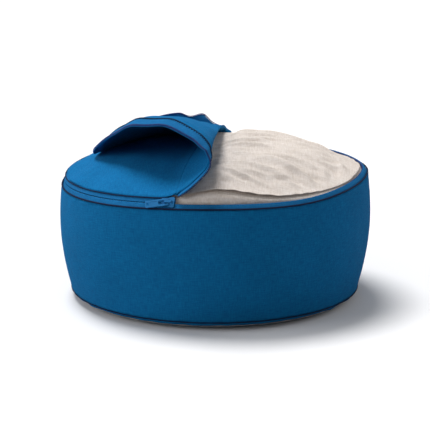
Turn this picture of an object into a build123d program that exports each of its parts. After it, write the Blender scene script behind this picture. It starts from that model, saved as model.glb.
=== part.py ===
from build123d import *
import math
import os

# Round floor cushion with a zip-off lid, in millimetres.
# Origin: centre of the base, on the floor. +Z is up, +X is right, and -Y faces the front.
# The lid is shown half unzipped: its right side is folded back over the part that is still zipped.

# Driving dimensions
cushion_diameter = 330.0
bulge_height = 96.0  # where the side panel is widest
base_seam_height = 5.0
base_seam_radius = 155.0
rim_height = 131.5  # seam between the side panel and the zip
rim_lean = 2.3  # degrees: the rim stands higher on the right
crown_rise = 31.5  # top of the lid above the rim
cloth = 1.2
bag_cloth = 1.0
slack = 0.3  # room between pieces that only touch
rim_slack = 0.9  # room inside the upright wall for the leaning zip

# Zip
tape_thickness = 0.7
band_tilt = 55.0  # degrees: slope of the zip band, leaning inwards from the rim
half_band = 5.5  # from a seam to the middle of the zip
tape_gap = 0.9  # from the middle of the zip to each tape's edge
coil_radius = 0.95
tape_allowance = 8.0  # sewn in behind the cloth
zip_start = -160.0  # degrees round the rim from the front, positive to the right
zip_open_from = -14.6  # where the two sides part, in front of the slider
zip_end = 174.3
slider_angle = -17.0

# Folded lid: the free side turns up on a first fold, then back over on a second fold.
fold_height = 34.0  # first fold, above the rim
fold_rise_angle = 48.0  # degrees: slope of the strip between the folds
strip_front = 54.0  # width of that strip at the front and the back
strip_back = 14.0
flap_turn = 139.0  # degrees: how far the flap is turned back from the strip
lid_cloth = 2.0

wall_radius = cushion_diameter / 2
wall_curve = (bulge_height - base_seam_height) ** 2 / (2 * (wall_radius - base_seam_radius))


def wall(height):
    """Outer radius of the side panel at a height above the floor."""
    return wall_radius - (height - bulge_height) ** 2 / (2 * wall_curve)


def arc_through(curve, low, high):
    """The arc of a radius-by-height curve from one height to another."""
    middle = (low + high) / 2
    return ThreePointArc((curve(low), low), (curve(middle), middle), (curve(high), high))


def wall_band(outset_outer, outset_inner, low, high):
    """Section of a shell that follows the side panel, between two insets."""
    outer = arc_through(lambda z: wall(z) - outset_outer, low, high)
    inner = arc_through(lambda z: wall(z) - outset_inner, low, high)
    ends = [Line(outer @ 0, inner @ 0), Line(outer @ 1, inner @ 1)]
    return make_face(Curve() + [outer, inner] + ends)


def offset_path(points, distance):
    """A line of section points moved sideways with its corners kept sharp. Positive moves it left."""
    path = [Vector(*p) for p in points]
    runs = [(b - a).normalized() for a, b in zip(path, path[1:])]
    moved = []
    for i, p in enumerate(path):
        before = runs[max(i - 1, 0)]
        after = runs[min(i, len(runs) - 1)]
        side = Vector(-before.Y - after.Y, before.X + after.X).normalized()
        moved.append(p + side * (distance / side.dot(Vector(-after.Y, after.X))))
    return moved


def strip_section(points, thickness):
    """Section of a thin strip along a line of points, with mitred corners."""
    left = offset_path(points, thickness / 2)
    right = offset_path(points, -thickness / 2)
    return make_face(Polyline(*left, *reversed(right), close=True))


def ring(section, start=0.0, end=360.0):
    """Turns a radius-by-height section about Z, from one rim angle to another."""
    turned = revolve(Plane.XZ * section, Axis.Z, revolution_arc=end - start)
    return Rot(0, 0, start - 90) * turned


def on_rim(radius, angle, height=0.0):
    """A point at a rim angle, in the rim's own frame."""
    a = math.radians(angle)
    return Vector(radius * math.sin(a), -radius * math.cos(a), height)


lean = Pos(0, 0, rim_height) * Rot(0, -rim_lean, 0)


def leaning_cut(shape, height, keep):
    """Cuts an upright shape along a plane parallel to the rim, at a height above it."""
    return split(shape, bisect_by=Plane(lean * Pos(0, 0, height)), keep=keep)


# Zip band: a cone from the rim seam up to the lid's seam. Points are (radius, height above the rim).
tilt = math.radians(band_tilt)
band_up = Vector(-math.cos(tilt), math.sin(tilt))
band_out = Vector(math.sin(tilt), math.cos(tilt))
tape_inset = cloth + rim_slack + tape_thickness / 2
band_foot = Vector(wall(rim_height) - tape_inset, 0.4)
chain = band_foot + band_up * half_band
band_head = chain + band_up * half_band
coil_inset = tape_thickness / 2 + coil_radius + 0.05
coil_side = tape_gap + coil_radius + 0.1

# Lid dome, from its edge at the zip band to the crown.
lid_edge = Vector(band_head.X + 0.2, band_head.Y + cloth + tape_thickness)


def ball_radius(edge, crown):
    """Radius of the ball whose top, at the crown, passes through a dome's edge point."""
    return (edge.X**2 + (crown - edge.Y) ** 2) / (2 * (crown - edge.Y))


def cap_height(radius, edge, crown):
    """Height of a dome at a radius."""
    ball = ball_radius(edge, crown)
    return crown - ball + math.sqrt(ball**2 - radius**2)


def cap_line(edge, crown):
    """The dome's line in section, from its edge to its crown."""
    ball = ball_radius(edge, crown)
    start = math.degrees(math.acos(edge.X / ball))
    return CenterArc((0, crown - ball), ball, start, 90 - start)


def cap_shell(edge, crown, thickness):
    """A dome of cloth as a full disc."""
    under = Vector(edge.X, edge.Y - thickness)
    top = cap_line(edge, crown)
    bottom = cap_line(under, crown - thickness)
    sides = [Line(top @ 0, bottom @ 0), Line(top @ 1, bottom @ 1)]
    return ring(make_face(Curve() + [top, bottom] + sides))


# Chord of the lid's fold, from where the zip parts at the front to the zip's end at the back.
chord_front = on_rim(chain.X, zip_open_from)
chord_back = on_rim(chain.X, zip_end)
chord_along = (chord_back - chord_front).normalized()
chord_across = Vector(chord_along.Y, -chord_along.X)
centre_offset = -chord_front.dot(chord_across)  # from the chord to the lid's centre
chord_foot = chord_front - chord_along * chord_front.dot(chord_along)

# The strip's plane: x runs back along the fold, y runs across the strip, z faces the bag when closed.
rise = math.radians(fold_rise_angle)
strip_across = chord_across * math.cos(rise) + Vector(0, 0, math.sin(rise))
fold_point = chord_foot + Vector(0, 0, fold_height)
strip_plane = Plane(fold_point, x_dir=chord_along, z_dir=chord_along.cross(strip_across))
lid_radius = lid_edge.X
chord_half = math.sqrt(chain.X**2 - centre_offset**2)
strip_slope = (strip_back - strip_front) / (2 * chord_half)


def second_fold(along):
    """Distance of the second fold from the first, at a place along the chord."""
    return (strip_front + strip_back) / 2 + strip_slope * along


flap_front = strip_plane.from_local_coords(Vector(-chord_half, second_fold(-chord_half), 0))
flap_back = strip_plane.from_local_coords(Vector(chord_half, second_fold(chord_half), 0))
flap_axis = Axis(flap_front, flap_back - flap_front)


def lid_sector(near, far):
    """A tall prism over the part of the flat lid between two fold distances at each end."""
    reach = 1.2 * chord_half
    corners = [(-reach, near(-reach)), (reach, near(reach)), (reach, far(reach)), (-reach, far(-reach))]
    return Pos(0, 0, -10) * extrude(make_face(Polyline(*corners, close=True)), 20)


def lid_pieces(sector):
    """Cloth, tape and coil of the free lid within a sector, laid flat about the fold."""
    middle = Pos(0, centre_offset, 0)
    disc = middle * extrude(Circle(lid_radius), lid_cloth)
    tape_outer = lid_radius + half_band - tape_gap
    tape_face = Circle(tape_outer) - Circle(lid_radius + slack)
    tape = middle * Pos(0, 0, lid_cloth / 2) * extrude(tape_face, tape_thickness)
    coil_path = tape_outer - coil_radius - 0.1
    coil_height = lid_cloth / 2 + tape_thickness + coil_radius + 0.05
    coil = middle * revolve(Plane.XZ * Pos(coil_path, coil_height) * Circle(coil_radius), Axis.Z)
    return [disc & sector, tape & sector, coil & sector]


def side_panel():
    """Tall side wall of the cover, cut off along the leaning rim."""
    return leaning_cut(ring(wall_band(0, cloth, base_seam_height, rim_height + 15)), 0, Keep.BOTTOM)


def bottom_panel():
    """Round base, flat on the floor, turned up at its edge to the bottom seam."""
    flat_radius = base_seam_radius - 7.5
    seam_radius = wall(base_seam_height)

    def turn_up(inset):
        start = (flat_radius, inset)
        bend = (seam_radius - 2.0 - inset * 0.7, 1.4 + inset * 0.7)
        return ThreePointArc(start, bend, (seam_radius - inset, base_seam_height))

    outer = turn_up(0)
    inner = turn_up(cloth)
    edges = [
        Line((0, 0), outer @ 0),
        outer,
        Line(outer @ 1, inner @ 1),
        inner,
        Line(inner @ 0, (0, cloth)),
        Line((0, cloth), (0, 0)),
    ]
    return ring(make_face(Curve() + edges))


tucked_radius = lid_edge.X - tape_allowance
under_lid = cap_height(tucked_radius, lid_edge, crown_rise) - cloth - slack - tape_thickness / 2
tucked_under_lid = Vector(tucked_radius, under_lid)


def lower_tape_section():
    """Half of the zip's tape that is sewn to the side panel."""
    edge = chain - band_up * tape_gap
    return strip_section([(band_foot.X, -tape_allowance), band_foot, edge], tape_thickness)


def upper_tape_section():
    """Half of the zip's tape that is sewn under the lid."""
    return strip_section([chain + band_up * tape_gap, band_head, tucked_under_lid], tape_thickness)


def coil_section(side):
    """One coil of the zip, on the hidden face of its tape. side is -1 below and +1 above."""
    middle = chain + band_up * (side * coil_side) - band_out * coil_inset
    return Pos(middle.X, middle.Y) * Circle(coil_radius)


def band_frame(angle):
    """Frame on the zip's middle line: x along the zip, y up the band, z out of it."""
    a = math.radians(angle)
    along = Vector(math.cos(a), math.sin(a), 0)
    out = Vector(math.sin(a), -math.cos(a), 0) * band_out.X + Vector(0, 0, band_out.Y)
    return Plane(on_rim(chain.X, angle, chain.Y), x_dir=along, z_dir=out)


def stop_block(angle, length, low, high):
    """A moulded zip stop on the hidden face of the tape, across the band from low to high."""
    top = -tape_thickness / 2 - 0.05
    block = Box(length, high - low, 2.2, align=(Align.CENTER, Align.MIN, Align.MAX))
    return band_frame(angle) * Pos(0, low, top) * block


# Slider, in its band frame. The nose points along +x, to the open side of the zip.
slider_tail = -7.5
slider_nose = 6.3
tail_width = 8.4
nose_width = 11.0
outer_plate_low = tape_thickness / 2 + 0.25
outer_plate_high = 1.5
inner_plate_high = -coil_inset - coil_radius - 0.35
inner_plate_low = inner_plate_high - 1.1
bridge_width = 2.2
bridge_top = outer_plate_high + 2.9
pivot = Vector(0.2, 0, outer_plate_high + 1.0)
pull_yaw = 10.0  # degrees: the pull tab hangs a little off the line of the zip


def slider_plate(low, high):
    """A slider plate: narrow at the tail, wide and rounded at the nose."""
    outline = [
        (slider_tail, -tail_width / 2),
        (-1.0, -tail_width / 2),
        (3.0, -nose_width / 2),
        (slider_nose, -nose_width / 2),
        (slider_nose, nose_width / 2),
        (3.0, nose_width / 2),
        (-1.0, tail_width / 2),
        (slider_tail, tail_width / 2),
    ]
    face = make_face(Polyline(*outline, close=True))
    face = fillet(face.vertices(), 1.1)
    return Pos(0, 0, low) * extrude(face, high - low)


def slider_body():
    """Two plates joined by a neck between the coils, with side lips and a bridge for the pull tab."""
    body = slider_plate(outer_plate_low, outer_plate_high) + slider_plate(inner_plate_low, inner_plate_high)
    neck_height = outer_plate_low - inner_plate_high
    neck = Pos(4.2, 0, inner_plate_high) * extrude(Ellipse(1.9, tape_gap - 0.35), neck_height)
    body += neck
    lip_height = -tape_thickness / 2 - 0.3 - inner_plate_high
    for side in (-1, 1):
        lip_middle = side * (tail_width / 2 - 0.35)
        lip = Box(6.0, 0.7, lip_height, align=(Align.CENTER, Align.CENTER, Align.MIN))
        body += Pos(-4.2, lip_middle, inner_plate_high) * lip
    arch = [
        (-4.6, outer_plate_high),
        (-3.4, bridge_top),
        (3.6, bridge_top),
        (4.8, outer_plate_high),
        (3.7, outer_plate_high),
        (2.9, bridge_top - 1.0),
        (-2.7, bridge_top - 1.0),
        (-3.5, outer_plate_high),
    ]
    bridge_face = Plane.XZ * make_face(Polyline(*arch, close=True))
    bridge = Pos(0, bridge_width / 2, 0) * extrude(bridge_face, bridge_width)
    return body + bridge


def pull_tab():
    """Flat tab with an eye round the slider's bridge and a small hole at its free end."""
    length = 24.5
    width = 7.4
    thickness = 1.2
    window = 9.5
    blank = Pos(-length / 2 + 0.6, 0) * RectangleRounded(length, width, 1.4)
    eye = Pos(-window / 2 - 0.6, 0) * RectangleRounded(window, 4.2, 1.0)
    end_hole = Pos(-length + 3.4, 0) * RectangleRounded(2.6, 3.0, 0.8)
    tab = Pos(0, 0, -thickness / 2) * extrude(blank - eye - end_hole, thickness)
    recess = Pos(-length / 2 - 3.0, 0, thickness / 2 - 0.2) * extrude(RectangleRounded(7.0, 4.2, 0.8), 1)
    place = Pos(pivot.X, pivot.Y, pivot.Z) * Rot(0, 0, pull_yaw) * Rot(0, 1.0, 0)
    return place * (tab - recess)


# Inner bag, in the rim's frame above the shoulder. Points are (radius, height above the rim).
shoulder_depth = -inner_plate_low + 0.65
bag_shoulder_low = chain - band_out * shoulder_depth - band_up * 6.0
bag_seam = chain - band_out * shoulder_depth + band_up * 6.0
bag_inset = tape_inset + tape_thickness / 2 + slack
bag_bottom = cloth + slack
bag_break = -tape_allowance - 2.5
bag_crown = crown_rise - cloth - 0.5
bag_break_radius = wall(rim_height + bag_break) - bag_inset
shoulder_path = [(bag_break_radius, bag_break), (bag_break_radius, bag_break + 1.0), bag_shoulder_low, bag_seam]
bag_top_edge = Vector(bag_seam.X, bag_seam.Y + bag_cloth + 0.1)


def bag_side_panel():
    """Side of the inner bag, from the base up over the shoulder to the bag's top seam."""
    low_band = wall_band(bag_inset, bag_inset + bag_cloth, bag_low, rim_height + 15)
    upright = leaning_cut(ring(low_band), bag_break, Keep.BOTTOM)
    inner = offset_path(shoulder_path, bag_cloth)
    shoulder = make_face(Polyline(*shoulder_path, *reversed(inner), close=True))
    return upright + lean * ring(shoulder)


def bag_top_panel():
    """Domed top of the inner bag."""
    return lean * cap_shell(bag_top_edge, bag_crown, bag_cloth)


bag_low = base_seam_height + 1.0  # lower edge of the inner bag's side
bag_base_path = [
    Vector(0, bag_bottom + bag_cloth / 2),
    Vector(base_seam_radius - 10.5, bag_bottom + bag_cloth / 2),
    Vector(wall(bag_low) - bag_inset - 0.5, bag_low - 0.6),
]


def bag_bottom_panel():
    """Flat base of the inner bag, turned up at its edge."""
    return ring(strip_section(bag_base_path, bag_cloth))


def husk_filling():
    """Loose husks that fill the inner bag, as one body."""
    inset = bag_cloth + 0.2
    top = rim_height + 15
    floor = offset_path(bag_base_path, inset - bag_cloth / 2)[:2]
    wall_line = arc_through(lambda z: wall(z) - bag_inset - inset, bag_low, top)
    closing = [Polyline(*floor, wall_line @ 0), Polyline(wall_line @ 1, (0, top), floor[0])]
    upright = leaning_cut(ring(make_face(Curve() + [wall_line] + closing)), bag_break, Keep.BOTTOM)
    sunk_path = [(bag_break_radius, bag_break - 1.0)] + shoulder_path[1:]  # starts inside the upright part
    shoulder = offset_path(sunk_path, inset + 0.9)
    crown = cap_line(shoulder[-1], bag_crown - inset)
    edges = [Polyline(*shoulder), crown, Polyline(crown @ 1, (0, bag_break - 1.0), shoulder[0])]
    return upright + lean * ring(make_face(Curve() + edges), 90, 450)


def zipped_lid():
    """The part of the lid that stays zipped, left of the fold."""
    dome = cap_shell(lid_edge, crown_rise, cloth)
    cut = Plane(chord_foot, x_dir=chord_along, z_dir=chord_across)
    return lean * split(dome, bisect_by=cut, keep=Keep.BOTTOM)


def hinge_strip():
    """Plain strip that joins lid and side where the zip stops, at the back."""
    points = [(band_foot.X, -tape_allowance), band_foot, band_head, tucked_under_lid]
    return lean * ring(strip_section(points, tape_thickness), zip_end + 1.5, 360 + zip_start - 1.5)


strip_sector = lid_sector(lambda t: 2.0, lambda t: second_fold(t) - 0.5)
flap_sector = lid_sector(lambda t: second_fold(t) + 0.5, lambda t: 1.2 * cushion_diameter)
fold_cloth, fold_tape, fold_coil = [lean * strip_plane.location * p for p in lid_pieces(strip_sector)]


def turned_back(piece):
    """Swings a flat lid piece back over about the second fold."""
    placed = strip_plane.location * piece
    return lean * placed.rotate(flap_axis, -flap_turn)


flap_cloth, flap_tape, flap_coil = [turned_back(p) for p in lid_pieces(flap_sector)]
slider_frame = lean * band_frame(slider_angle).location

nodes = {
    "side_panel": side_panel(),
    "bottom_panel": bottom_panel(),
    "zipped_lid": zipped_lid(),
    "back_hinge_strip": hinge_strip(),
    "lower_zip_tape": lean * ring(lower_tape_section(), zip_start - 1.2, zip_end),
    "lower_zip_coil": lean * ring(coil_section(-1), zip_start, zip_end - 2.5),
    "closed_zip_tape": lean * ring(upper_tape_section(), 360 + zip_start - 1.2, 360 + zip_open_from - 0.4),
    "closed_zip_coil": lean * ring(coil_section(1), 360 + zip_start, 360 + zip_open_from - 0.4),
    "zip_start_stop": lean * stop_block(zip_start - 0.8, 1.8, -3.2, 3.2),
    "lower_end_stop": lean * stop_block(zip_end - 1.6, 3.0, -3.4, -0.95),
    "inner_bag_side": bag_side_panel(),
    "inner_bag_top": bag_top_panel(),
    "inner_bag_base": bag_bottom_panel(),
    "husk_filling": husk_filling(),
    "lid_strip_cloth": fold_cloth,
    "lid_strip_tape": fold_tape,
    "lid_strip_coil": fold_coil,
    "lid_flap_cloth": flap_cloth,
    "lid_flap_tape": flap_tape,
    "lid_flap_coil": flap_coil,
    "zip_slider": slider_frame * slider_body(),
    "pull_tab": slider_frame * pull_tab(),
}

if __name__ == "__main__":
    os.makedirs("parts", exist_ok=True)
    for name, shape in nodes.items():
        export_step(shape, f"parts/{name}.step")
        size = shape.bounding_box().size
        print(name, len(shape.solids()), round(shape.volume), [round(v, 1) for v in size])
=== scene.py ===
import bpy
import bmesh
import math
import numpy as np
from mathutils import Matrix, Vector


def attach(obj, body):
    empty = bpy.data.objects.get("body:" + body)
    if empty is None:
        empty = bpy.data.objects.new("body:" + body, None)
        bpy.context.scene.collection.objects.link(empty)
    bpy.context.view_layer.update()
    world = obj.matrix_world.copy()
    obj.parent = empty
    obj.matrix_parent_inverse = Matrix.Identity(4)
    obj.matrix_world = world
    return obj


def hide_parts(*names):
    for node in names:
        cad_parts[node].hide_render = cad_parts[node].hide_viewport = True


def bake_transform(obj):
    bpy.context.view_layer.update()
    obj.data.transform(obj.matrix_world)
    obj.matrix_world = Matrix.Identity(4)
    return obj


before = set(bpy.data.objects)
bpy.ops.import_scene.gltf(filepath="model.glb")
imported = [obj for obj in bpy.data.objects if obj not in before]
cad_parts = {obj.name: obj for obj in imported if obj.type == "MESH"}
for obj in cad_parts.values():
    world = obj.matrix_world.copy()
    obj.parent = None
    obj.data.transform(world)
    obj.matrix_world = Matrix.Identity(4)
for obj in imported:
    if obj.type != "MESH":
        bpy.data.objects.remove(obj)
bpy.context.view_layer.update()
print("frame loaded:", len(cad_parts), "CAD nodes")

# The cushion's own sizes in metres. They are the CAD model's, but for the base seam, which stands a little
# higher and further in here, and the rim's sag and flare. Angles run round the rim from the front,
# positive to the right. The rim's own frame leans with the rim, and its heights start there.
cushion = {
    "radius": 0.165, "bulgeHeight": 0.096, "baseSeam": 0.0085, "baseRadius": 0.1535,
    "rimHeight": 0.1315, "lean": 2.3, "crown": 0.0315, "domePower": 2.7,
    "lidRadius": 0.1549, "lidEdge": 0.0113, "chainRadius": 0.15787, "chainHeight": 0.0049,
    "bandTilt": 55.0, "halfBand": 0.0055, "footRadius": 0.1610, "footHeight": 0.0004,
    "zipStart": -160.0, "zipParts": -14.6, "zipEnd": 174.3,
    # degrees round the rim and metres: how far the sewn rim sags, and how far the band's head flares out
    "sag": [
        (-180, 0), (-155, 0), (-120, -0.0025), (-85, -0.005), (-45, -0.0025), (-17, -0.0005), (0, -0.0015),
        (36, -0.007), (60, -0.0045), (85, -0.0022), (105, -0.0055), (130, -0.0055), (160, -0.001), (180, 0),
    ],
    "flare": [(-180, 0), (-130, 0), (-90, 0.0036), (-62, 0.0014), (-40, 0), (180, 0)],
}
leanAngle = math.radians(cushion["lean"])
bandTilt = math.radians(cushion["bandTilt"])
bandUp = np.array([-math.cos(bandTilt), math.sin(bandTilt)])  # along the zip band, as (radius, height)
bandOut = np.array([math.sin(bandTilt), math.cos(bandTilt)])


# (radius, height) at a rim angle: radius out from the axis, front is -Y
def around(radius, angle, height):
    a = np.radians(angle)
    return np.stack(np.broadcast_arrays(radius * np.sin(a), -radius * np.cos(a), height), -1)


# straight lines between knots, averaged with a bell of the given width
def softCurve(x, knots, width, period=None):
    xs, ys = np.array(knots, float).T
    steps = np.linspace(-2.4, 2.4, 17)
    bell = np.exp(-steps**2 / 2)
    parts = [w * np.interp(x + s * width, xs, ys, period=period) for s, w in zip(steps, bell)]
    return sum(parts) / bell.sum()


# how far the sewn rim sags at a rim angle
def rimWander(angle):
    return softCurve(angle, cushion["sag"], 7.0, period=360)


# smooth step from 0 at low to 1 at high
def rise(x, low, high):
    t = np.clip((x - low) / (high - low), 0, 1)
    return t * t * (3 - 2 * t)


# rim frame to the model's frame: turned about Y by the lean, then lifted to the rim. Close to the rim the
# height also follows the sag, and the head of the zip band moves out by the flare.
def leaned(p):
    x, y, z = p[..., 0], p[..., 1], p[..., 2]
    angle, radius = np.degrees(np.arctan2(x, -y)), np.hypot(x, y)
    near = rise(radius, 0.105, 0.15) * (1 - rise(z, 0.014, 0.034))
    grow = 1 + softCurve(angle, cushion["flare"], 6.0, period=360) * rise(z, 0, 0.009) * near / 0.155
    x, y, z = x * grow, y * grow, z + rimWander(angle) * near
    c, s = math.cos(leanAngle), math.sin(leanAngle)
    return np.stack([x * c - z * s, y, x * s + z * c + cushion["rimHeight"]], -1)


# sum of sine waves in random directions, scaled to about 1, for lumps about size across
def lumps(points, size, seed, count=16):
    dice = np.random.default_rng(seed)
    ways = dice.normal(size=(count, 3))
    ways /= np.linalg.norm(ways, axis=1, keepdims=True)
    ways *= 2 * math.pi / size * dice.uniform(0.6, 1.5, (count, 1))
    turns = dice.uniform(0, 2 * math.pi, count)
    return np.sin(points @ ways.T + turns).sum(-1) / math.sqrt(count)


# grid of points (across, along, xyz) made into faces, with its flat pattern in metres as the UV map
def gridPiece(name, points, flat, loopU=False, loopV=False, flip=False, weld=False):
    nu, nv = points.shape[:2]
    i, j = np.meshgrid(np.arange(nu - (not loopU)), np.arange(nv - (not loopV)), indexing="ij")
    corners = [(i, j), (i + 1, j), (i + 1, j + 1), (i, j + 1)]
    if flip:
        corners = corners[::-1]
    quads = np.stack([(a % nu) * nv + b % nv for a, b in corners], -1).reshape(-1)
    uv = np.stack([flat[a % flat.shape[0], b % flat.shape[1]] for a, b in corners], -2).reshape(-1)
    count = len(quads) // 4
    mesh = bpy.data.meshes.new(name)
    mesh.vertices.add(nu * nv)
    mesh.vertices.foreach_set("co", np.ascontiguousarray(points, dtype=np.float32).ravel())
    mesh.loops.add(count * 4)
    mesh.loops.foreach_set("vertex_index", quads.astype(np.int32))
    mesh.polygons.add(count)
    mesh.polygons.foreach_set("loop_start", np.arange(0, count * 4, 4, dtype=np.int32))
    mesh.polygons.foreach_set("loop_total", np.full(count, 4, dtype=np.int32))
    mesh.update(calc_edges=True)
    layer = mesh.uv_layers.new(name="weave")
    layer.data.foreach_set("uv", uv.astype(np.float32))
    mesh.polygons.foreach_set("use_smooth", np.ones(count, dtype=bool))
    if weld:
        work = bmesh.new()
        work.from_mesh(mesh)
        bmesh.ops.remove_doubles(work, verts=work.verts, dist=2e-6)
        work.to_mesh(mesh)
        work.free()
    mesh.validate()
    piece = bpy.data.objects.new(name, mesh)
    bpy.context.collection.objects.link(piece)
    return piece


# a round thread of the given radius carried along a path; up fixes which way its section faces
def threadPoints(path, up, radius, sides):
    along = np.gradient(path, axis=0)
    along /= np.linalg.norm(along, axis=1, keepdims=True) + 1e-12
    across = np.cross(along, up)
    across /= np.linalg.norm(across, axis=1, keepdims=True) + 1e-12
    over = np.cross(across, along)
    a = np.linspace(0, 2 * math.pi, sides, endpoint=False)
    ringX, ringY = np.cos(a)[None, :, None], np.sin(a)[None, :, None]
    return path[:, None] + radius * (ringX * across[:, None] + ringY * over[:, None])


# the same thread made a piece, with both ends closed
def threadPiece(name, path, up, radius, sides=6):
    points = threadPoints(path, up, radius, sides)
    ends = np.stack([np.repeat(path[:1], sides, 0), np.repeat(path[-1:], sides, 0)])
    points = np.concatenate([ends[:1], points, ends[1:]])
    length = np.concatenate([[0], np.cumsum(np.linalg.norm(np.diff(path, axis=0), axis=1))])
    length = np.concatenate([length[:1], length, length[-1:]])
    girth = np.arange(sides + 1) * 2 * math.pi * radius / sides
    flat = np.stack(np.meshgrid(length, girth, indexing="ij"), -1)
    return gridPiece(name, points, flat, loopV=True, weld=True)


# offset -1 grows the wall inwards from the surface, 0 to both sides and 1 outwards
def thicken(piece, thickness, offset=-1.0):
    solid = piece.modifiers.new("thickness", "SOLIDIFY")
    solid.thickness = thickness
    solid.offset = offset
    solid.use_even_offset = False
    return piece


def dress(piece, material):
    piece.data.materials.clear()
    piece.data.materials.append(material)
    return piece


# display colour from 0 to 255 made linear
def linear(*rgb):
    parts = [v / 255 for v in rgb]
    return tuple(c / 12.92 if c <= 0.04045 else ((c + 0.055) / 1.055) ** 2.4 for c in parts)


class Tree:
    # small wrapper so a material reads as a list of steps
    def __init__(self, name):
        self.material = bpy.data.materials.new(name)
        self.material.use_nodes = True
        self.nodes = self.material.node_tree.nodes
        self.links = self.material.node_tree.links
        self.shader = self.nodes["Principled BSDF"]

    def add(self, kind, inputs=None, **settings):
        node = self.nodes.new(kind)
        for key, value in settings.items():
            setattr(node, key, value)
        for key, value in (inputs or {}).items():
            if isinstance(value, bpy.types.NodeSocket):
                self.links.new(value, node.inputs[key])
            else:
                node.inputs[key].default_value = value
        return node

    def sum(self, operation, a, b=0.0, c=0.0):
        return self.add("ShaderNodeMath", {0: a, 1: b, 2: c}, operation=operation).outputs[0]

    def noise(self, place, scale, detail):
        return self.add("ShaderNodeTexNoise", {"Vector": place, "Scale": scale, "Detail": detail}).outputs[0]

    def spread(self, value, low, high, toLow, toHigh):
        return self.add("ShaderNodeMapRange", {0: value, 1: low, 2: high, 3: toLow, 4: toHigh}).outputs[0]

    def mix(self, share, a, b, blend="MIX"):
        node = self.add("ShaderNodeMix", data_type="RGBA", blend_type=blend)
        for socket, value in (("Factor", share), ("A", a), ("B", b)):
            slot = next(s for s in node.inputs if s.name == socket and s.enabled)
            if isinstance(value, bpy.types.NodeSocket):
                self.links.new(value, slot)
            else:
                slot.default_value = value
        return next(s for s in node.outputs if s.enabled)


# woven cloth: two sets of threads as crossing sine waves, with uneven threads and soft mottling, and painted
# shade that darkens the hollows between the threads
def wovenCloth(name, looks):
    t = Tree(name)
    if looks["onObject"]:
        place = t.add("ShaderNodeTexCoord").outputs["Object"]
    else:
        place = t.add("ShaderNodeUVMap", uv_map="weave").outputs[0]
    split = t.add("ShaderNodeSeparateXYZ", {0: place})
    turn = 2 * math.pi / looks["thread"]
    warp = t.sum("SINE", t.sum("MULTIPLY", split.outputs[0], turn))
    weft = t.sum("SINE", t.sum("MULTIPLY", split.outputs[1], turn))
    weave = t.sum("MULTIPLY", warp, weft)
    slubs = []
    across, along, deep = looks["slubAcross"], looks["slubAlong"], 300
    for stretch in ((across, along, deep), (along, across, deep)):
        spot = t.add("ShaderNodeMapping", {"Vector": place, "Scale": stretch})
        slubs.append(t.noise(spot.outputs[0], 1.0, 2.0))
    slub = t.sum("MULTIPLY", t.sum("ADD", slubs[0], slubs[1]), 0.5)
    fuzz = t.noise(place, looks["fuzzScale"], 3.0)
    cloud = t.noise(place, looks["cloudScale"], 2.0)
    shade = t.spread(slub, 0.3, 0.7, 0.0, 1.0)
    tone = t.mix(shade, (*looks["dark"], 1), (*looks["light"], 1))
    soft = t.spread(cloud, 0.3, 0.7, 1 - looks["cloud"], 1 + looks["cloud"])
    # painted shade: where the weave's height is low, between the threads, the colour is darkened by up to gap
    gapShade = t.spread(weave, -1.0, 1.0, 1 - looks["gap"], 1.0)
    light = t.sum("MULTIPLY", soft, gapShade)
    value = t.add("ShaderNodeCombineColor", {0: light, 1: light, 2: light})
    tone = t.mix(1.0, tone, value.outputs[0], "MULTIPLY")
    t.links.new(tone, t.shader.inputs["Base Color"])
    height = t.sum("ADD", t.sum("MULTIPLY", weave, 0.35), t.sum("ADD", t.sum("MULTIPLY", slub, 2.2), fuzz))
    bump = t.add("ShaderNodeBump", {"Height": height, "Strength": looks["bump"], "Distance": looks["depth"]})
    t.links.new(bump.outputs[0], t.shader.inputs["Normal"])
    t.shader.inputs["Roughness"].default_value = looks["rough"]
    t.shader.inputs["Specular IOR Level"].default_value = looks["specular"]
    t.shader.inputs["Sheen Weight"].default_value = looks["sheen"]
    t.shader.inputs["Sheen Roughness"].default_value = looks["sheenRough"]
    t.shader.inputs["Sheen Tint"].default_value = (*looks["sheenTint"], 1)
    return t.material


# gap in each looks table is how far painted shade darkens the hollows between the threads
canvasLooks = {
    "onObject": False, "thread": 0.0009, "slubAcross": 900, "slubAlong": 120,
    "fuzzScale": 1500, "cloudScale": 22, "specular": 0.08, "sheenRough": 0.45,
    "dark": linear(6, 96, 154), "light": linear(16, 124, 184), "cloud": 0.05, "gap": 0.22,
    "bump": 0.55, "depth": 0.0005, "rough": 0.9, "sheen": 0.06, "sheenTint": linear(90, 180, 235),
}
tapeLooks = dict(canvasLooks, thread=0.0007, dark=linear(20, 98, 156), light=linear(32, 122, 182), sheen=0.05)
linenLooks = {
    "onObject": True, "thread": 0.0011, "slubAcross": 750, "slubAlong": 60,
    "fuzzScale": 1200, "cloudScale": 30, "specular": 0.08, "sheenRough": 0.45,
    "dark": linear(214, 201, 190), "light": linear(243, 235, 229), "cloud": 0.03, "gap": 0.14,
    "bump": 0.6, "depth": 0.0006, "rough": 0.92, "sheen": 0.2, "sheenTint": linear(255, 245, 230),
}
canvasBlue = wovenCloth("canvasBlue", canvasLooks)
tapeBlue = wovenCloth("zipTapeBlue", tapeLooks)
linenCloth = wovenCloth("undyedLinen", linenLooks)


# plain moulded, enamelled or dyed surface with a faint uneven gloss; rough is its mean roughness
def smoothFinish(name, colour, rough):
    t = Tree(name)
    place = t.add("ShaderNodeTexCoord").outputs["Object"]
    fine, broad = t.noise(place, 900.0, 2.0), t.noise(place, 140.0, 2.0)
    dull = tuple(c * 0.82 for c in colour)
    t.links.new(t.mix(broad, (*dull, 1), (*colour, 1)), t.shader.inputs["Base Color"])
    gloss = t.spread(fine, 0.3, 0.7, rough - 0.07, rough + 0.07)
    t.links.new(gloss, t.shader.inputs["Roughness"])
    bump = t.add("ShaderNodeBump", {"Height": fine, "Strength": 0.15, "Distance": 0.0001})
    t.links.new(bump.outputs[0], t.shader.inputs["Normal"])
    t.shader.inputs["Specular IOR Level"].default_value = 0.22
    return t.material


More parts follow.
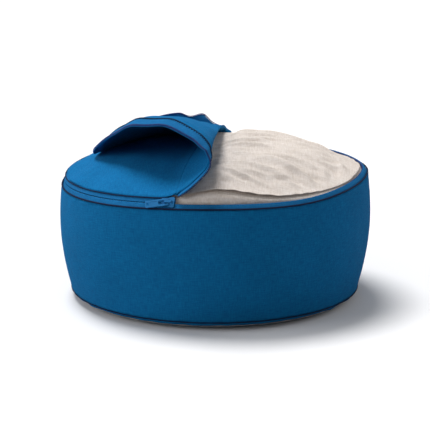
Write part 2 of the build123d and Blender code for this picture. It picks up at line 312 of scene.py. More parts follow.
coilNylon = smoothFinish("coilNylon", linear(30, 62, 128), 0.42)
sliderEnamel = smoothFinish("sliderEnamel", linear(36, 118, 178), 0.36)
# near-black thread colour: the overlock stitches' own thread, and in the seam grooves painted shade as well
# as thread
darkThreadAndGrooveShade = smoothFinish("seamThreadAndGrooveShade", linear(4, 28, 62), 0.85)
huskBrown = smoothFinish("huskBrown", linear(120, 88, 56), 0.85)
print("materials made")

# the floor and the surround are brighter where they are seen than where they light the cushion
studio = {
    "distance": 2.6, "elevation": 13.9, "aim": (0.0004, 0.0, 0.0844), "viewWidth": 0.4606,
    "sensor": 36, "farthest": 50, "floorHalf": 8, "floorRough": 0.9,
    "floorSeen": (0.83, 0.83, 0.84, 1), "floorBounce": (0.38, 0.38, 0.39, 1),
    "surroundSeen": 1.02, "surroundLight": 0.30, "lampAim": 0.1,
}
scene = bpy.context.scene
scene.view_settings.view_transform = "Standard"
camera = bpy.data.objects.new("camera", bpy.data.cameras.new("camera"))
tip = math.radians(studio["elevation"])
aim = np.array(studio["aim"])
camera.location = aim + studio["distance"] * np.array([0, -math.cos(tip), math.sin(tip)])
camera.rotation_euler = (math.pi / 2 - tip, 0, 0)
camera.data.lens = studio["sensor"] * studio["distance"] / studio["viewWidth"]
camera.data.clip_end = studio["farthest"]
bpy.context.collection.objects.link(camera)
scene.camera = camera

floorMesh = bpy.data.meshes.new("floor")
half = studio["floorHalf"]
floorCorners = [(-half, -half, 0), (half, -half, 0), (half, half, 0), (-half, half, 0)]
floorMesh.from_pydata(floorCorners, [], [(0, 1, 2, 3)])
floor = bpy.data.objects.new("floor", floorMesh)
bpy.context.collection.objects.link(floor)
floorPaint = bpy.data.materials.new("paleFloor")
floorPaint.use_nodes = True
floorTree = floorPaint.node_tree
floorShader = floorTree.nodes["Principled BSDF"]
floorPath = floorTree.nodes.new("ShaderNodeLightPath")
floorMix = floorTree.nodes.new("ShaderNodeMix")
floorMix.data_type = "RGBA"
floorMix.inputs[6].default_value = studio["floorBounce"]
floorMix.inputs[7].default_value = studio["floorSeen"]
floorTree.links.new(floorPath.outputs["Is Camera Ray"], floorMix.inputs["Factor"])
floorTree.links.new(floorMix.outputs[2], floorShader.inputs["Base Color"])
floorShader.inputs["Roughness"].default_value = studio["floorRough"]
floorMesh.materials.append(floorPaint)

# a white surround
world = bpy.data.worlds.new("studio")
scene.world = world
world.use_nodes = True
sky = world.node_tree
skyShade = sky.nodes["Background"]
skyShade.inputs["Color"].default_value = (1, 1, 1, 1)
seen = sky.nodes.new("ShaderNodeLightPath")
level = sky.nodes.new("ShaderNodeMapRange")
level.inputs[3].default_value = studio["surroundLight"]
level.inputs[4].default_value = studio["surroundSeen"]
sky.links.new(seen.outputs["Is Camera Ray"], level.inputs[0])
sky.links.new(level.outputs[0], skyShade.inputs["Strength"])

lamps = {
    "keyLamp": {"kind": "SUN", "at": (-0.50, 0.60, 2.0), "size": math.radians(26), "power": 3.0},
    "sideLamp": {"kind": "SUN", "at": (-1.8, -0.45, 0.85), "size": math.radians(40), "power": 1.15},
    "edgeLamp": {"kind": "AREA", "at": (1.7, 0.5, 0.9), "size": 1.0, "power": 5},
}
for name, lamp in lamps.items():
    light = bpy.data.lights.new(name, lamp["kind"])
    setattr(light, "angle" if lamp["kind"] == "SUN" else "size", lamp["size"])
    light.energy = lamp["power"]
    holder = bpy.data.objects.new(name, light)
    holder.location = lamp["at"]
    way = np.array([0, 0, studio["lampAim"]]) - np.array(lamp["at"])
    holder.rotation_euler = Vector(way).to_track_quat("-Z", "Y").to_euler()
    bpy.context.collection.objects.link(holder)
print("studio set")

wall = {
    "canvas": 0.0010, "turnIn": 0.0016, "puckerDepth": 0.0005, "puckerSize": 0.022,
    "waveDepth": 0.0009, "waveSize": 0.11, "rightBulge": 0.0015, "seamFade": 0.007, "rimFade": 0.006,
}


# outer radius of the side panel at a height: a shallow bow, widest at the bulge
def wallRadius(height):
    drop, gain = cushion["bulgeHeight"] - cushion["baseSeam"], cushion["radius"] - cushion["baseRadius"]
    bow = drop ** 2 / 2 / gain
    return cushion["radius"] - (height - cushion["bulgeHeight"]) ** 2 / 2 / bow


# how far a point at a rim angle and a share of the height is lifted by the leaning, wandering rim
def rimLift(angle, share):
    x = cushion["radius"] * np.sin(np.radians(angle))
    return share * (x * math.tan(leanAngle) + rimWander(angle))


# side panel: the bowed profile turned round the axis, its top edge rolled in along the wandering rim;
# its bottom edge rolls in at the base seam. Long soft waves and short puckers at both seams are added.
def sidePanel():
    angle = np.linspace(-180, 180, 481)[:-1]
    low, top = cushion["baseSeam"], cushion["rimHeight"]
    roll = wall["turnIn"]
    ends = np.linspace(0, 0.04, 7), np.linspace(0.96, 1, 7)
    share = np.concatenate([ends[0][:-1], np.linspace(0.04, 0.96, 56), ends[1][1:]])
    height = low + 0.0004 + (top - low - 0.0012) * share
    radius = wallRadius(height)
    radius[:4] -= roll * (1 - np.linspace(0.25, 1, 4)) ** 1.5
    radius[-4:] -= roll * np.linspace(0, 0.8, 4) ** 2
    lowTurn, topTurn = low + np.array([0.006, 0.001]), top - np.array([0.0006, 0.0030, 0.0080])
    height = np.concatenate([lowTurn, height, topTurn])
    lowTurn, topTurn = radius[0] - np.array([0.004, 0.0022]), radius[-1] - np.array([0.0012, 0.0019, 0.002])
    radius = np.concatenate([lowTurn, radius, topTurn])
    a, h = np.meshgrid(angle, height, indexing="ij")
    r = np.broadcast_to(radius, a.shape).copy()
    s = np.clip((h - low) / (top - low), 0, 1)
    p = around(r, a, h)
    r += wall["waveDepth"] * lumps(p * [1, 1, 0.6], wall["waveSize"], 3) * np.sin(math.pi * s)
    r += wall["rightBulge"] * np.sin(math.pi * s) * rise(np.sin(np.radians(a)), -0.2, 1.0) * (1 - s)
    seamLow, seamHigh = np.exp(-(h - low) / wall["seamFade"]), np.exp(-(top - h) / wall["rimFade"])
    ripple = lumps(p * [1, 1, 0.15], wall["puckerSize"], 5)
    r += wall["puckerDepth"] * ripple * (1.3 * seamLow * (h > low + 0.0015) + seamHigh * (h < top - 0.001))
    h = h + rimLift(a, s) + 0.0006 * ripple * seamLow
    arc = np.radians(np.append(angle, 180)) * cushion["radius"]
    flat = np.stack(np.broadcast_arrays(arc[:, None], height[None]), -1)
    piece = gridPiece("sidePanelCanvas", around(r, a, h), flat, loopU=True)
    return thicken(piece, wall["canvas"])


sideCanvas = dress(sidePanel(), canvasBlue)
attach(sideCanvas, "cover")
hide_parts("side_panel")


# bottom panel: (radius, height) knots turned round the axis, a flat disc that turns up into the base seam
def bottomPanel():
    angle = np.linspace(-180, 180, 361)[:-1]
    profile = np.array([
        (0, 0.0), (0.05, 0), (0.10, 0), (0.122, 0.0001), (0.132, 0.0008), (0.141, 0.0023), (0.1478, 0.0044),
        (0.1516, 0.0064), (0.1532, 0.0078), (0.1531, 0.0087), (0.1520, 0.0092), (0.1502, 0.0098),
    ])
    a, r = np.meshgrid(angle, profile[:, 0], indexing="ij")
    h = np.broadcast_to(profile[:, 1], a.shape)
    ripple = lumps(around(0.15, a, 0 * a), wall["puckerSize"], 5)
    h = h + 0.0006 * ripple * rise(r, 0.146, 0.1535)
    h = np.maximum(h, 0)
    flat = around(r, a, h)[..., :2]
    flat = np.concatenate([flat, flat[:1]])
    piece = gridPiece("bottomPanelCanvas", around(r, a, h), flat, loopU=True, flip=True, weld=True)
    return thicken(piece, wall["canvas"], 1.0)


bottomCanvas = dress(bottomPanel(), canvasBlue)
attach(bottomCanvas, "cover")
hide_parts("bottom_panel")
print("side and bottom panels made")

zipper = {
    "tapeThickness": 0.0007, "closedGap": 0.00035, "openGap": 0.0007, "hingeGap": 0.0003,
    "coilPitch": 0.00127, "coilWire": 0.00034, "coilWide": 0.00085, "coilTall": 0.00065,
    "coilAside": 0.00115, "coilBehind": 0.0012,
}
chain = np.array([cushion["chainRadius"], cushion["chainHeight"]])


# point on the band: up it by v and out of it by w, as (radius, height)
def onBand(v, w):
    v, w = np.asarray(v, float)[..., None], np.asarray(w, float)[..., None]
    return chain + v * bandUp + w * bandOut


# a tape is its section, as (radius, height) knots, carried round the rim
def ringTape(name, section, start, end, step=0.75):
    angle = np.linspace(start, end, int((end - start) / step) + 2)
    section = np.asarray(section)
    a, r = np.meshgrid(angle, section[:, 0], indexing="ij")
    h = np.broadcast_to(section[:, 1], a.shape)
    length = np.concatenate([[0], np.cumsum(np.linalg.norm(np.diff(section, axis=0), axis=1))])
    arc = np.radians(angle) * cushion["chainRadius"]
    flat = np.stack(np.meshgrid(arc, length, indexing="ij"), -1)
    piece = gridPiece(name, leaned(around(r, a, h)), flat)
    return thicken(piece, zipper["tapeThickness"], 0.0)


# lower tape's section: from inside the wall up over the foot, then up the band to the middle line
def lowerSection(gap):
    foot = np.array([cushion["footRadius"], cushion["footHeight"]])
    knots = [foot + (0, -0.0084), foot + (0, -0.004), foot + (0.0001, -0.0012), foot + (-0.0001, 0.0002)]
    return np.array(knots + [onBand(v, 0.0) for v in np.linspace(-0.0046, -gap, 7)])


# upper tape's section: from the middle line up the band and in under the lid
def upperSection(gap):
    head = onBand(cushion["halfBand"], 0.0)
    knots = [onBand(v, 0.0) for v in np.linspace(gap, 0.0050, 7)]
    return np.array(knots + [head + (-0.0012, 0.0003), head + (-0.008, 0.0012)])


start, parts, end = cushion["zipStart"], cushion["zipParts"], cushion["zipEnd"]
closedLower = ringTape("lowerTapeClosed", lowerSection(zipper["closedGap"]), start - 1, parts - 1.5)
openLower = ringTape("lowerTapeOpen", lowerSection(zipper["openGap"]), parts - 1.5, end)
closedUpper = ringTape("upperTapeClosed", upperSection(zipper["closedGap"]), start - 1, parts - 0.6)
hingeSection = np.concatenate([lowerSection(zipper["hingeGap"]), upperSection(zipper["hingeGap"])])
hingeCloth = ringTape("backHingeStrip", hingeSection, end - 0.5, start + 360 + 0.5)
for piece in (closedLower, openLower, closedUpper, hingeCloth):
    dress(piece, tapeBlue if piece != hingeCloth else canvasBlue)
    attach(piece, "cover")
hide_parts("lower_zip_tape")
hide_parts("lower_zip_tape")
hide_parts("closed_zip_tape")
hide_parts("back_hinge_strip")


# coil: a flattened helix beside the zip's middle line, on the hidden face of the tape
def ringCoil(name, side, start, end):
    middleRadius = cushion["chainRadius"]
    pitch = math.degrees(zipper["coilPitch"] / middleRadius)
    turns = int((end - start) / pitch)
    tau = np.linspace(0, turns * 2 * math.pi, turns * 8 + 1)
    angle = start + pitch * tau / (2 * math.pi)
    v = side * (zipper["coilAside"] + zipper["coilWide"] * np.cos(tau))
    w = -zipper["coilBehind"] - zipper["coilTall"] * np.sin(tau)
    rh = onBand(v, w)
    path = leaned(around(rh[:, 0], angle, rh[:, 1]))
    up = leaned(around(np.full_like(angle, 1.0), angle, 0 * angle)) - leaned(np.zeros(3))
    return threadPiece(name, path, up, zipper["coilWire"], 4)


lowerCoil = ringCoil("lowerCoil", -1, start, end - 2.5)
closedCoil = ringCoil("closedCoil", 1, start, parts - 0.5)
for piece, node in ((lowerCoil, "lower_zip_coil"), (closedCoil, "closed_zip_coil")):
    dress(piece, coilNylon)
    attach(piece, "cover")
    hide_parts(node)


# sizes and places of the dark cords in the seam grooves, which stand for the seam thread and for painted
# shade in each groove
seams = {
    "rimRadius": 0.1627, "rimHeight": 0.0002, "rimThreadAndShade": 0.0009, "thread": 0.0006,
    "lidOut": 0.0006, "lidHeight": 0.0096, "baseOut": 0.0003, "baseUp": 0.0006,
}
upright = np.array([0.0, 0.0, 1.0])


# dark cord that lies in a sewn groove, at one radius and height round the rim: partly the seam's thread,
# partly painted shade of the groove
def grooveThreadAndShade(name, radius, height, start, end, thick):
    angle = np.linspace(start, end, int(abs(end - start) * 1.5))
    path = leaned(around(radius, angle, height))
    return threadPiece(name, path, upright, thick, 6)


rimGroove = grooveThreadAndShade(
    "rimSeamThreadAndShade", seams["rimRadius"], seams["rimHeight"], -180, 180, seams["rimThreadAndShade"])
lidGroove = grooveThreadAndShade(
    "lidSeamThreadAndShade", cushion["lidRadius"] + seams["lidOut"], seams["lidHeight"],
    start, parts - 0.8, seams["thread"])
# the base seam's dark cord: its thread, and painted shade of the groove
baseTurn = np.linspace(-180, 180, 541)
basePath = around(cushion["baseRadius"] + seams["baseOut"], baseTurn, cushion["baseSeam"] + seams["baseUp"])
baseGroove = threadPiece("baseSeamThreadAndShade", basePath, upright, seams["thread"], 6)
for piece in (rimGroove, lidGroove, baseGroove):
    dress(piece, darkThreadAndGrooveShade)
    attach(piece, "cover")
print("zip round the rim made")

# The lid is one round panel. Flat, it lies about the cushion's axis; its free side rolls up and over along
# rays that meet at the back end of the zip, so it is a cone-like fold. heading and lift are the direction of
# each ray, in degrees, against the ray's flat angle from the fold's foot.
lid = {
    "thickness": 0.0012,
    "heading": [
        (-95, -95), (-4, -4), (0, 0), (5, 7.0), (9, 6.4), (12, 7.2), (17, 5.4), (22, 1.3), (27, -2.1),
        (37, -11.8), (45, -20.8), (52, -33), (58, -39), (67, -41), (77, -43), (86, -45), (95, -47),
    ],
    "lift": [
        (-95, 0), (-1, 0), (0, 0.1), (5, 5.8), (9, 7.8), (12, 8.6), (17, 11.6), (22, 13.5), (27, 14.8),
        (37, 15.0), (45, 12.6), (52, 7.0), (58, 4.2), (64, 2.4), (72, 3.2), (78, 13.0), (86, 19.0),
        (95, 20.0),
    ],
    "curveWidth": 1.8,
    "pleats": 0.0045,
    "flatten": 0.85,  # how much of the dome the turned-back part has lost
    "curl": 0.0100, "curlWidth": 0.0305,  # the loose edge bends over towards the outer face
    "tuck": 0.0012,  # how far the very edge is drawn in over the tape
    "splitRay": 8.0,  # degrees: the ray where the rising cloth meets the flap
}
backEnd = around(np.array(cushion["chainRadius"]), cushion["zipEnd"], 0.0)[:2]
frontEnd = around(np.array(cushion["chainRadius"]), cushion["zipParts"], 0.0)[:2]
foldWay = (frontEnd - backEnd) / np.linalg.norm(frontEnd - backEnd)
foldSide = np.array([-foldWay[1], foldWay[0]])
if foldSide[0] < 0:
    foldSide = -foldSide


# lid dome: flat round the crown and falling faster to its edge
def domeHeight(xy, edge, crown, radius):
    share = np.minimum(np.linalg.norm(xy, axis=-1) / radius, 1.03)
    return edge + (crown - edge) * (1 - share ** cushion["domePower"])


# a flat point on the lid becomes distance and angle from the fold's back end, and goes out that ray
def lidBase(xy):
    d = xy - backEnd
    along, side = d @ foldWay, d @ foldSide
    distance, ray = np.hypot(along, side), np.degrees(np.arctan2(side, along))
    heading = np.radians(softCurve(ray, lid["heading"], lid["curveWidth"]))
    lift = np.radians(softCurve(ray, lid["lift"], lid["curveWidth"]))
    flatOut = distance * np.cos(lift)
    ahead, aside = (flatOut * np.cos(heading))[..., None], (flatOut * np.sin(heading))[..., None]
    place = backEnd + ahead * foldWay + aside * foldSide
    dome = domeHeight(place, cushion["lidEdge"], cushion["crown"], cushion["lidRadius"])
    flat = lid["flatten"] * rise(ray, 2, 20) * (1 - rise(ray, 60, 74))
    dome = dome + (cushion["lidEdge"] - dome) * flat
    ray3 = np.concatenate([place, (dome + distance * np.sin(lift))[..., None]], -1)
    return ray3, distance, ray


# point on the lid, moved in from its outer face by inward; pleats gather the loose edge at the back
def lidPoint(xy, inward=0.0):
    step = 0.0004
    here, distance, ray = lidBase(xy)
    towardX = lidBase(xy + [step, 0])[0] - here
    towardY = lidBase(xy + [0, step])[0] - here
    normal = np.cross(towardX, towardY)
    normal /= np.linalg.norm(normal, axis=-1, keepdims=True) + 1e-15
    edge = rise(np.linalg.norm(xy, axis=-1), 0.085, 0.158)
    turn = np.degrees(np.arctan2(xy[..., 0], -xy[..., 1]))
    gather = (0.35 * rise(ray, 50, 66) + 0.65 * rise(ray, 68, 80)) * rise(distance, 0.006, 0.05) * edge
    wave = np.sin(np.radians(turn) * 17 + 1.2 * np.sin(np.radians(turn) * 7))
    soft = 0.0010 * lumps(here, 0.06, 11) * rise(np.abs(ray), 2, 25)
    inFromEdge = cushion["lidRadius"] - np.linalg.norm(xy, axis=-1)
    bend = np.clip(1 - inFromEdge / lid["curlWidth"], 0, 1.3) ** 2
    curl = lid["curl"] * bend * rise(ray, 4, 16) * (1 - rise(ray, 52, 68))
    tuck = lid["tuck"] * np.clip(1 - inFromEdge / 0.003, 0, 1) ** 2
    push = lid["pleats"] * wave * gather + soft + curl - tuck
    return here + normal * (push - inward)[..., None], normal


# flat points between the fold's foot and the lid's edge: s runs along both, share 0 is on the foot and 1 at
# the edge, and side is 1 for the free part and -1 for the zipped part
def lidFan(s, share, side, radius):
    a0, a1 = cushion["zipParts"], cushion["zipEnd"]
    turn = a0 + (a1 - a0) * s if side > 0 else a0 - (360 - (a1 - a0)) * s
    edgePoint = around(radius, turn, 0.0)[..., :2]
    foot = frontEnd + (backEnd - frontEnd) * s[..., None]
    return foot * (1 - share[..., None]) + edgePoint * share[..., None]


# the part of the lid between two shares of its fan
def lidPanel(name, s, shareLow, shareHigh, rows, side):
    f = np.linspace(0, 1, rows)[None]
    share = shareLow[:, None] * (1 - f) + shareHigh[:, None] * f
    s2 = np.broadcast_to(s[:, None], share.shape)
    xy = lidFan(s2, share, side, cushion["lidRadius"])
    points, _ = lidPoint(xy, np.zeros(share.shape))
    piece = gridPiece(name, leaned(points), xy, flip=side > 0)
    return thicken(piece, lid["thickness"])


splitRay = lid["splitRay"]
count = 240
sAll = np.linspace(0, 1, count)
zeros, ones = np.zeros(count), np.ones(count)
# share at which each line of the fan crosses the splitting ray
edgeXY = lidFan(sAll, ones, 1, cushion["lidRadius"]) - backEnd
footXY = lidFan(sAll, zeros, 1, cushion["lidRadius"]) - backEnd
slope = math.tan(math.radians(splitRay))
footAlong, edgeAlong, edgeSide = footXY @ foldWay, edgeXY @ foldWay, edgeXY @ foldSide
crossing = np.clip(footAlong * slope / (edgeSide - (edgeAlong - footAlong) * slope + 1e-9), 0, 1)
flapStart = (2 * splitRay) / (cushion["zipEnd"] - cushion["zipParts"])
sFlap = np.linspace(flapStart, 1, count)
flapLow = np.interp(sFlap, sAll, crossing)
flapLow[0] = 1.0

zippedSide = lidPanel("lidZippedSide", sAll, zeros, ones, 60, -1)
risingCloth = lidPanel("lidRisingCloth", sAll, zeros, crossing, 22, 1)
flapCloth = lidPanel("lidFlapCloth", sFlap, flapLow, np.ones(count), 80, 1)
for piece in (zippedSide, risingCloth, flapCloth):
    dress(piece, canvasBlue)
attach(zippedSide, "cover")
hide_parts("zipped_lid")
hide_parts("lid_strip_cloth")
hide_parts("lid_flap_cloth")
print("lid cloth made")


# band along the lid's free edge: knots are (distance outside the cloth's edge, depth on the inner side)
def edgeBand(name, knots, turns, thickness):
    knots = np.array(knots)
    t, k = np.meshgrid(turns, np.arange(len(knots)), indexing="ij")
    r = cushion["lidRadius"] + knots[k, 0]
    xy = around(r, t, 0.0 * r)[..., :2]
    points, _ = lidPoint(xy, knots[k, 1])
    length = np.concatenate([[0], np.cumsum(np.linalg.norm(np.diff(knots, axis=0), axis=1))])
    flat = np.stack(np.meshgrid(np.radians(turns) * cushion["lidRadius"], length, indexing="ij"), -1)
    piece = gridPiece(name, leaned(points), flat, flip=True)
    return thicken(piece, thickness, 0.0)


tapeKnots = [
    (-0.0095, 0.0026), (-0.0060, 0.0025), (-0.0022, 0.0023), (-0.0006, 0.0013),
    (0.0006, 0.0010), (0.0025, 0.0012), (0.0042, 0.0012), (0.0049, 0.0012),
]
edgeCoilLooks = {"pitchOut": 0.004, "out": 0.0043, "depth": 0.0022}
stitch = {"pitch": 1.5, "in": 0.0086, "reach": 0.0026, "depth": 0.0032, "over": 0.0010, "thread": 0.00042}
turnSplit = cushion["zipParts"] + 2 * splitRay
risingTurns = np.linspace(cushion["zipParts"] + 0.3, turnSplit, 40)
flapTurns = np.linspace(turnSplit, cushion["zipEnd"] - 0.3, 330)
risingTape = edgeBand("lidRisingTape", tapeKnots, risingTurns, zipper["tapeThickness"])
flapTape = edgeBand("lidFlapTape", tapeKnots, flapTurns, zipper["tapeThickness"])


# coil along the lid's free edge: the same flattened helix, carried on the lid
def edgeCoil(name, start, end):
    pitch = math.degrees(zipper["coilPitch"] / (cushion["lidRadius"] + edgeCoilLooks["pitchOut"]))
    turns = int((end - start) / pitch)
    tau = np.linspace(0, turns * 2 * math.pi, turns * 8 + 1)
    t = start + pitch * tau / (2 * math.pi)
    r = cushion["lidRadius"] + edgeCoilLooks["out"] + zipper["coilWide"] * np.cos(tau)
    depth = edgeCoilLooks["depth"] + zipper["coilTall"] * np.sin(tau)
    points, normal = lidPoint(around(r, t, 0 * t)[:, :2], depth)
    return threadPiece(name, leaned(points), normal, zipper["coilWire"], 4)


risingCoil = edgeCoil("lidRisingCoil", cushion["zipParts"] + 0.6, turnSplit)
flapCoil = edgeCoil("lidFlapCoil", turnSplit, cushion["zipEnd"] - 1.5)


# overlock stitches: a triangle wave along the edge, nearer the cloth on its inner turns; pitch in degrees
def overlock(name, start, end):
    pitch = stitch["pitch"]
    turns = int((end - start) / pitch)
    t = np.linspace(start, start + turns * pitch, turns * 12 + 1)
    saw = 2 / math.pi * np.arcsin(np.sin(2 * math.pi * (t - start) / pitch))
    r = cushion["lidRadius"] - stitch["in"] + stitch["reach"] * saw
    depth = stitch["depth"] - stitch["over"] * rise(-saw, 0.1, 0.7)
    points, normal = lidPoint(around(r, t, 0 * t)[:, :2], depth)
    return threadPiece(name, leaned(points), normal, stitch["thread"], 5)


risingStitch = overlock("lidRisingOverlock", cushion["zipParts"] + 4, turnSplit)
flapStitch = overlock("lidFlapOverlock", turnSplit, cushion["zipEnd"] - 3)
for pair, material, slot in (
    ((risingTape, flapTape), tapeBlue, "zip_tape"), ((risingCoil, flapCoil), coilNylon, "zip_coil"),
    ((risingStitch, flapStitch), darkThreadAndGrooveShade, "cover_cloth"),
):
    for piece in pair:
        dress(piece, material)
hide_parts("lid_strip_tape")
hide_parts("lid_flap_tape")
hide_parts("lid_strip_coil")
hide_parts("lid_flap_coil")


# place beside the middle of the fold, out to its free side, at a height above the rim
def byFold(out, height):
    return tuple(leaned(np.array([*(backEnd + 0.16 * foldWay + out * foldSide), height])))


riseFrom, riseTo = byFold(0.0, 0.0315), byFold(0.007, 0.040)
flapFrom, flapTo = byFold(0.016, 0.048), byFold(-0.030, 0.064)
for piece in (risingCloth, risingTape, risingCoil, risingStitch):
    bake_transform(piece)
for piece in (flapCloth, flapTape, flapCoil, flapStitch):
    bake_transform(piece)
print("lid edge, zip half and stitching made")

bag = {
    # degrees round the rim and metres: the top seam's radius, its height above the rim, and how far it is
    # pulled in
    "seamRadius": [
        (-180, 0.1515), (40, 0.1515), (62, 0.1540), (85, 0.1560), (125, 0.1555), (150, 0.1515), (180, 0.1515),
    ],
    "seamHeight": [
        (-180, 0.006), (-60, 0.006), (-32, 0.008), (-20, 0.008), (-12, 0.0110), (-4, 0.0180), (4, 0.0185),
        (14, 0.0135), (25, 0.0090), (37, 0.0068), (55, 0.0035), (68, 0.0030), (77, 0.0055), (90, 0.0035),
        (120, 0.0025), (180, 0.006),
    ],
    "crease": [
        (-180, 0.001), (-30, 0.001), (-15, 0.005), (-4, 0.009), (8, 0.008), (20, 0.0085), (33, 0.004),
        (55, 0.0015), (70, 0.0035), (85, 0.002), (120, 0.001), (180, 0.001),
    ],
    "crown": 0.0300, "power": 2.35, "round": 0.9,
    # folds on top: where each starts and ends (x, y), its height, its half width and how far it bows
    "folds": [
        (0.010, 0.040, 0.075, 0.022, 0.0017, 0.0042, 0.003),
        (0.006, 0.000, 0.066, -0.006, 0.0015, 0.0040, 0.002),
        (0.002, -0.018, 0.066, -0.031, 0.0017, 0.0044, 0.002),
        (0.014, 0.063, 0.095, 0.046, 0.0013, 0.0050, 0.004),
        (0.030, 0.014, 0.120, -0.006, 0.0010, 0.0060, 0.005),
        (0.055, 0.036, 0.134, 0.016, 0.0009, 0.0055, 0.004),
        (0.044, -0.066, 0.116, -0.112, 0.0019, 0.0062, 0.007),
        (-0.006, -0.094, 0.050, -0.122, 0.0014, 0.0030, -0.004),
        (0.024, -0.080, 0.098, -0.120, 0.0008, 0.0040, 0.004),
        (0.127, -0.044, 0.131, -0.092, -0.0018, 0.0068, 0.003),
        (0.112, -0.062, 0.122, -0.098, 0.0016, 0.0040, 0.002),
        (0.132, -0.030, 0.141, -0.062, 0.0014, 0.0036, 0.001),
        (0.060, -0.050, 0.125, -0.066, 0.0010, 0.0060, 0.004),
        (-0.012, -0.060, 0.046, -0.052, 0.0009, 0.0045, 0.003),
    ],
    "foldScale": 2.9,  # every fold's height times this
    # the cloth pass: its length, the air in the bag, the spare cloth, and the most that a point moves
    "frames": 14, "pressure": 0.3, "spare": 0.05, "cap": 0.0035,
    "quality": 6, "mass": 0.25, "stretch": 18, "shear": 6, "bend": 0.25,
}


# folds in the linen: each is a ridge with a valley beside it, bell-shaped across its line, fading at its ends
def linenFolds(xy):
    total = np.zeros(xy.shape[:-1])
    for x0, y0, x1, y1, height, width, bow in bag["folds"]:
        way = np.array([x1 - x0, y1 - y0])
        length = np.linalg.norm(way)
        way = way / length
        from0 = xy - [x0, y0]
        u = from0 @ way / length
        v = (from0 @ np.array([-way[1], way[0]]) - bow * 4 * u * (1 - u)) / width
        fade = rise(u, -0.12, 0.25) * (1 - rise(u, 0.7, 1.12))
        total += bag["foldScale"] * height * fade * (np.exp(-v**2) - 0.6 * np.exp(-(v - 1.7) ** 2))
    return total


# bag profile at each rim angle: flat base, upright side, a neck that bulges and is pulled in at the top seam,
# then a domed top whose height is (1 - share ** power) ** round, share being radius over seam radius
def bagShape(columns=264):
    angle = np.linspace(-180, 180, columns + 1)[:-1]
    sideHeight = np.linspace(0.0065, cushion["rimHeight"] - 0.014, 16)
    sideRadius = wallRadius(sideHeight) - 0.0034
    low = [(0, 0.0018), (0.05, 0.0018), (0.10, 0.0018), (0.142, 0.0019), (0.148, 0.0036)]
    profile = np.array(low + list(zip(sideRadius, sideHeight)))
    a, r = np.meshgrid(angle, profile[:, 0], indexing="ij")
    h = np.broadcast_to(profile[:, 1], a.shape)
    body = around(r, a, h + rimLift(a, np.clip(h / cushion["rimHeight"], 0, 1) ** 2))
    turn = a[:, :1]
    seam = softCurve(turn, bag["seamHeight"], 4.0, period=360)
    crease = softCurve(turn, bag["crease"], 4.0, period=360)
    reach = softCurve(turn, bag["seamRadius"], 8.0, period=360)
    ripple = lumps(around(0.15, turn, 0 * turn), 0.016, 21)
    u = np.linspace(0, 1, 11)[None]
    puff = (0.0008 + 0.16 * (seam - 0.006)) * np.sin(math.pi * u**2.2)
    neckRadius = 0.1562 * (1 - u) + reach * u + puff - crease * np.exp(-((1 - u) / 0.09) ** 2)
    neckRadius = neckRadius + 0.0006 * ripple * np.sin(math.pi * u)
    neck = leaned(around(neckRadius, turn, -0.007 * (1 - u) + seam * u))
    share = np.concatenate([[0.9985, 0.996, 0.9925], np.linspace(0.985, 0, 47)])[None]
    inFromSeam = 1 - share
    radius = reach * share + (0.0006 + 0.45 * crease) * np.exp(-((inFromSeam - 0.014) / 0.011) ** 2)
    radius = radius - crease * np.exp(-(inFromSeam / 0.006) ** 2)
    top = seam + (bag["crown"] - seam) * (1 - share ** bag["power"]) ** bag["round"]
    crown = around(radius, turn, top)
    edge = np.exp(-((inFromSeam - 0.03) / 0.04) ** 2)
    crown[..., 2] += 0.0008 * ripple * edge
    crown[..., 2] += 0.0005 * lumps(crown * [1, 2.6, 0], 0.03, 23) * rise(inFromSeam, 0.01, 0.1)
    under = domeHeight(crown[..., :2], cushion["lidEdge"], cushion["crown"], cushion["lidRadius"]) - 0.0026
    fromFold = (crown[..., :2] - backEnd) @ foldSide
    crown[..., 2] = np.minimum(crown[..., 2], under + 0.03 * rise(fromFold, -0.004, 0.03))
    return np.concatenate([body, neck, leaned(crown)], 1)


# the linen top is let go as cloth with some spare size, held at its seam, and its result kept within the cap;
# loose is 1 where a point is free and 0 where it is held
def relaxTop(piece, loose):
    start = np.empty(len(piece.data.vertices) * 3, dtype=np.float32)
    piece.data.vertices.foreach_get("co", start)
    start = start.reshape(-1, 3)
    held = piece.vertex_groups.new(name="held")
    for weight in np.unique(loose):
        held.add([int(i) for i in np.nonzero(loose == weight)[0]], float(1 - weight), "REPLACE")
    cloth = piece.modifiers.new("cloth", "CLOTH")
    settings = cloth.settings
    settings.quality = bag["quality"]
    settings.mass = bag["mass"]
    settings.tension_stiffness = settings.compression_stiffness = bag["stretch"]
    settings.shear_stiffness = bag["shear"]
    settings.bending_stiffness = bag["bend"]
    settings.vertex_group_mass = "held"
    settings.shrink_min = settings.shrink_max = -bag["spare"]
    settings.use_pressure = True
    settings.uniform_pressure_force = bag["pressure"]
    settings.effector_weights.gravity = 0
    cloth.point_cache.frame_start, cloth.point_cache.frame_end = 1, bag["frames"]
    for step in range(1, bag["frames"] + 1):
        scene.frame_set(step)
    shape = piece.evaluated_get(bpy.context.evaluated_depsgraph_get()).data
    moved = np.empty_like(start).ravel()
    shape.vertices.foreach_get("co", moved)
    shift = moved.reshape(-1, 3) - start
    far = np.linalg.norm(shift, axis=1, keepdims=True) + 1e-9
    shift *= bag["cap"] * np.tanh(far / bag["cap"]) / far * loose[:, None]
    piece.modifiers.remove(cloth)
    piece.vertex_groups.remove(held)
    scene.frame_set(1)
    piece.data.vertices.foreach_set("co", (start + shift).astype(np.float32).ravel())
    piece.data.update()


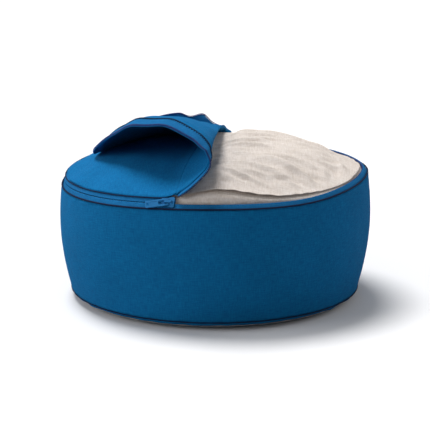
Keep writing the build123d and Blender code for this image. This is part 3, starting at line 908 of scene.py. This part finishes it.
bagPoints = bagShape()
bagFlat = np.concatenate([bagPoints[..., :2], bagPoints[:1, :, :2]])
innerBag = gridPiece("linenInnerBag", bagPoints, bagFlat, loopU=True, weld=True)
places = np.array([v.co for v in innerBag.data.vertices])
out = np.hypot(places[:, 0], places[:, 1])
onTop = places[:, 2] > cushion["rimHeight"] + 0.002 + np.tan(leanAngle) * places[:, 0]
loose = np.round((1 - rise(out, 0.125, 0.147)) * onTop, 2)
loose *= rise((places[:, :2] - backEnd) @ foldSide, 0.006, 0.03)
relaxTop(innerBag, loose)


# the larger folds go on after the cloth has settled, straight up from the rim's plane
def raiseFolds(piece):
    spots = np.array([v.co for v in piece.data.vertices])
    c, s = math.cos(leanAngle), math.sin(leanAngle)
    above = spots[:, 2] - cushion["rimHeight"]
    plan = np.stack([spots[:, 0] * c + above * s, spots[:, 1]], -1)
    high = above * c - spots[:, 0] * s
    share = (rise(high, 0.003, 0.010) * (1 - rise(np.hypot(*plan.T), 0.143, 0.151))
             * rise((plan - backEnd) @ foldSide, -0.004, 0.012))
    spots[:, 2] += linenFolds(plan) * share
    piece.data.vertices.foreach_set("co", spots.astype(np.float32).ravel())
    piece.data.update()


raiseFolds(innerBag)
finer = innerBag.modifiers.new("finer", "SUBSURF")
finer.levels = finer.render_levels = 1
dress(innerBag, linenCloth)
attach(innerBag, "cover")
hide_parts("inner_bag_side", "inner_bag_top", "inner_bag_base")


filling = {"scale": (0.945, 0.945, 0.91), "up": 0.0055, "lump": 0.0006, "lumpSize": 0.012}


# the husks: the bag's own shape, drawn in from it all round and made lumpy
def huskShape():
    inner = bagPoints[::2] * list(filling["scale"]) + [0, 0, filling["up"]]
    return inner + filling["lump"] * lumps(inner, filling["lumpSize"], 31)[..., None] * [1, 1, 0.4]


huskPoints = huskShape()
huskFlat = np.concatenate([huskPoints[..., :2], huskPoints[:1, :, :2]])
husks = gridPiece("buckwheatHusks", huskPoints, huskFlat, loopU=True, weld=True)
dress(husks, huskBrown)
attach(husks, "cover")
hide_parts("husk_filling")
print("inner bag made")

# CAD nodes that stay, with their finishes
keep = {
    "zip_slider": sliderEnamel, "pull_tab": sliderEnamel,
    "zip_start_stop": coilNylon, "lower_end_stop": coilNylon,
}
for node, material in keep.items():
    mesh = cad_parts[node].data
    mesh.materials.clear()
    mesh.materials.append(material)

print("all pieces made")
